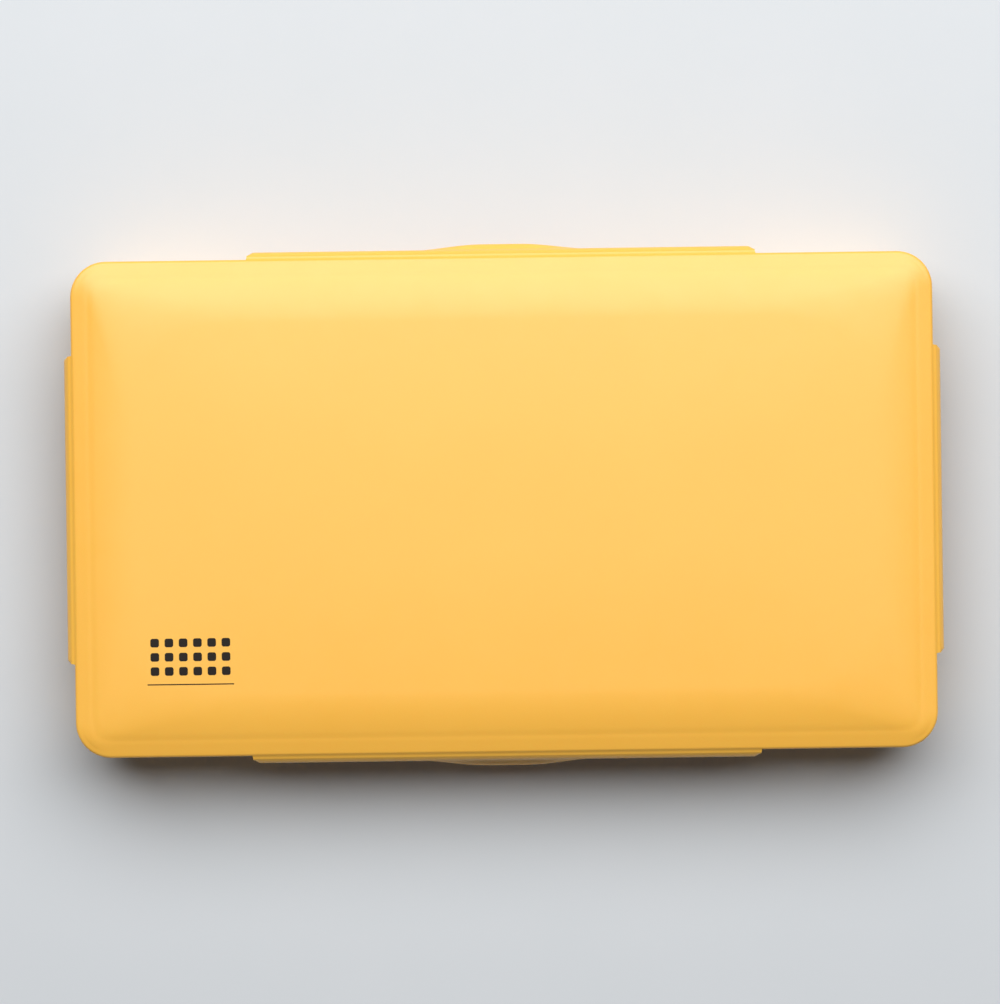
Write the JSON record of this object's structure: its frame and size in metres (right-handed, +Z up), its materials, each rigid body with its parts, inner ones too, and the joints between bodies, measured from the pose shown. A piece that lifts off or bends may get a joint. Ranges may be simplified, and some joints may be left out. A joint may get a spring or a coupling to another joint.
{
  "type": "gouache paint set box",
  "caption": "Snap-lock plastic case with a pillow-topped lid and living-hinge flaps, holding a rack of gouache cups under a lift-out mixing palette.",
  "frame": {"origin": "middle of the underside, on the surface that the box stands on", "axes": "+X along the case's long side, +Y from its front to its back, +Z up through the lid"},
  "size_m": [0.3452, 0.2052, 0.045],
  "materials": {
    "yellow_polypropylene": "satin, spark-eroded",
    "white_polypropylene": "satin",
    "white_polystyrene": "gloss",
    "frosted_polypropylene": "frosted, translucent",
    "silicone": "matt",
    "gouache_white": "moist, satin",
    "gouache_lemon": "moist, satin",
    "gouache_deep_yellow": "moist, satin",
    "gouache_orange": "moist, satin",
    "gouache_vermilion": "moist, satin",
    "gouache_crimson": "moist, satin",
    "gouache_rose": "moist, satin",
    "gouache_violet": "moist, satin",
    "gouache_ultramarine": "moist, satin",
    "gouache_cobalt": "moist, satin",
    "gouache_turquoise": "moist, satin",
    "gouache_viridian": "moist, satin",
    "gouache_sap_green": "moist, satin",
    "gouache_ochre": "moist, satin",
    "gouache_sienna": "moist, satin",
    "gouache_umber": "moist, satin",
    "gouache_grey": "moist, satin",
    "gouache_black": "moist, satin"
  },
  "bodies": {
    "base": {"base_tray": "yellow_polypropylene", "cup_rack": "white_polypropylene"},
    "lid": {"lid_shell": "yellow_polypropylene", "lid_gasket": "silicone", "front_hinge_film": "yellow_polypropylene", "back_hinge_film": "yellow_polypropylene", "left_hinge_film": "yellow_polypropylene", "right_hinge_film": "yellow_polypropylene"},
    "palette": {"palette": "white_polystyrene"},
    "front_flap": {"front_flap": "yellow_polypropylene"},
    "back_flap": {"back_flap": "yellow_polypropylene"},
    "left_flap": {"left_flap": "yellow_polypropylene"},
    "right_flap": {"right_flap": "yellow_polypropylene"},
    "cup_01": {"cup_01": "frosted_polypropylene", "paint_01": "gouache_white"},
    "cup_02": {"cup_02": "frosted_polypropylene", "paint_02": "gouache_lemon"},
    "cup_03": {"cup_03": "frosted_polypropylene", "paint_03": "gouache_deep_yellow"},
    "cup_04": {"cup_04": "frosted_polypropylene", "paint_04": "gouache_orange"},
    "cup_05": {"cup_05": "frosted_polypropylene", "paint_05": "gouache_vermilion"},
    "cup_06": {"cup_06": "frosted_polypropylene", "paint_06": "gouache_crimson"},
    "cup_07": {"cup_07": "frosted_polypropylene", "paint_07": "gouache_rose"},
    "cup_08": {"cup_08": "frosted_polypropylene", "paint_08": "gouache_violet"},
    "cup_09": {"cup_09": "frosted_polypropylene", "paint_09": "gouache_ultramarine"},
    "cup_10": {"cup_10": "frosted_polypropylene", "paint_10": "gouache_cobalt"},
    "cup_11": {"cup_11": "frosted_polypropylene", "paint_11": "gouache_turquoise"},
    "cup_12": {"cup_12": "frosted_polypropylene", "paint_12": "gouache_viridian"},
    "cup_13": {"cup_13": "frosted_polypropylene", "paint_13": "gouache_sap_green"},
    "cup_14": {"cup_14": "frosted_polypropylene", "paint_14": "gouache_ochre"},
    "cup_15": {"cup_15": "frosted_polypropylene", "paint_15": "gouache_sienna"},
    "cup_16": {"cup_16": "frosted_polypropylene", "paint_16": "gouache_umber"},
    "cup_17": {"cup_17": "frosted_polypropylene", "paint_17": "gouache_grey"},
    "cup_18": {"cup_18": "frosted_polypropylene", "paint_18": "gouache_black"}
  },
  "joints": [
    {"name": "lid_lift", "type": "slide", "parent": "base", "child": "lid", "axis": [0, 0, 1], "range_m": [0, 0.12]},
    {"name": "palette_lift", "type": "slide", "parent": "base", "child": "palette", "axis": [0, 0, 1], "range_m": [0, 0.072]},
    {"name": "cup_01_lift", "type": "slide", "parent": "base", "child": "cup_01", "axis": [0, 0, 1], "range_m": [0, 0.042]},
    {"name": "cup_02_lift", "type": "slide", "parent": "base", "child": "cup_02", "axis": [0, 0, 1], "range_m": [0, 0.042]},
    {"name": "cup_03_lift", "type": "slide", "parent": "base", "child": "cup_03", "axis": [0, 0, 1], "range_m": [0, 0.042]},
    {"name": "cup_04_lift", "type": "slide", "parent": "base", "child": "cup_04", "axis": [0, 0, 1], "range_m": [0, 0.042]},
    {"name": "cup_05_lift", "type": "slide", "parent": "base", "child": "cup_05", "axis": [0, 0, 1], "range_m": [0, 0.042]},
    {"name": "cup_06_lift", "type": "slide", "parent": "base", "child": "cup_06", "axis": [0, 0, 1], "range_m": [0, 0.042]},
    {"name": "cup_07_lift", "type": "slide", "parent": "base", "child": "cup_07", "axis": [0, 0, 1], "range_m": [0, 0.042]},
    {"name": "cup_08_lift", "type": "slide", "parent": "base", "child": "cup_08", "axis": [0, 0, 1], "range_m": [0, 0.042]},
    {"name": "cup_09_lift", "type": "slide", "parent": "base", "child": "cup_09", "axis": [0, 0, 1], "range_m": [0, 0.042]},
    {"name": "cup_10_lift", "type": "slide", "parent": "base", "child": "cup_10", "axis": [0, 0, 1], "range_m": [0, 0.042]},
    {"name": "cup_11_lift", "type": "slide", "parent": "base", "child": "cup_11", "axis": [0, 0, 1], "range_m": [0, 0.042]},
    {"name": "cup_12_lift", "type": "slide", "parent": "base", "child": "cup_12", "axis": [0, 0, 1], "range_m": [0, 0.042]},
    {"name": "cup_13_lift", "type": "slide", "parent": "base", "child": "cup_13", "axis": [0, 0, 1], "range_m": [0, 0.042]},
    {"name": "cup_14_lift", "type": "slide", "parent": "base", "child": "cup_14", "axis": [0, 0, 1], "range_m": [0, 0.042]},
    {"name": "cup_15_lift", "type": "slide", "parent": "base", "child": "cup_15", "axis": [0, 0, 1], "range_m": [0, 0.042]},
    {"name": "cup_16_lift", "type": "slide", "parent": "base", "child": "cup_16", "axis": [0, 0, 1], "range_m": [0, 0.042]},
    {"name": "cup_17_lift", "type": "slide", "parent": "base", "child": "cup_17", "axis": [0, 0, 1], "range_m": [0, 0.042]},
    {"name": "cup_18_lift", "type": "slide", "parent": "base", "child": "cup_18", "axis": [0, 0, 1], "range_m": [0, 0.042]},
    {"name": "front_flap_hinge", "type": "hinge", "parent": "lid", "child": "front_flap", "pos_m": [0, -0.0984, 0.03885], "axis": [-1, 0, 0], "range_deg": [-8, 130], "deforming": ["front_hinge_film"]},
    {"name": "back_flap_hinge", "type": "hinge", "parent": "lid", "child": "back_flap", "pos_m": [0, 0.0984, 0.03885], "axis": [1, 0, 0], "range_deg": [-8, 130], "deforming": ["back_hinge_film"]},
    {"name": "left_flap_hinge", "type": "hinge", "parent": "lid", "child": "left_flap", "pos_m": [-0.1704, 0, 0.03885], "axis": [0, 1, 0], "range_deg": [-8, 130], "deforming": ["left_hinge_film"]},
    {"name": "right_flap_hinge", "type": "hinge", "parent": "lid", "child": "right_flap", "pos_m": [0.1704, 0, 0.03885], "axis": [0, -1, 0], "range_deg": [-8, 130], "deforming": ["right_hinge_film"]}
  ],
  "couplings": [
    {"joint": "palette_lift", "follows": "lid_lift", "ratio": 0.6},
    {"joint": "cup_01_lift", "follows": "lid_lift", "ratio": 0.35},
    {"joint": "cup_02_lift", "follows": "lid_lift", "ratio": 0.35},
    {"joint": "cup_03_lift", "follows": "lid_lift", "ratio": 0.35},
    {"joint": "cup_04_lift", "follows": "lid_lift", "ratio": 0.35},
    {"joint": "cup_05_lift", "follows": "lid_lift", "ratio": 0.35},
    {"joint": "cup_06_lift", "follows": "lid_lift", "ratio": 0.35},
    {"joint": "cup_07_lift", "follows": "lid_lift", "ratio": 0.35},
    {"joint": "cup_08_lift", "follows": "lid_lift", "ratio": 0.35},
    {"joint": "cup_09_lift", "follows": "lid_lift", "ratio": 0.35},
    {"joint": "cup_10_lift", "follows": "lid_lift", "ratio": 0.35},
    {"joint": "cup_11_lift", "follows": "lid_lift", "ratio": 0.35},
    {"joint": "cup_12_lift", "follows": "lid_lift", "ratio": 0.35},
    {"joint": "cup_13_lift", "follows": "lid_lift", "ratio": 0.35},
    {"joint": "cup_14_lift", "follows": "lid_lift", "ratio": 0.35},
    {"joint": "cup_15_lift", "follows": "lid_lift", "ratio": 0.35},
    {"joint": "cup_16_lift", "follows": "lid_lift", "ratio": 0.35},
    {"joint": "cup_17_lift", "follows": "lid_lift", "ratio": 0.35},
    {"joint": "cup_18_lift", "follows": "lid_lift", "ratio": 0.35}
  ]
}
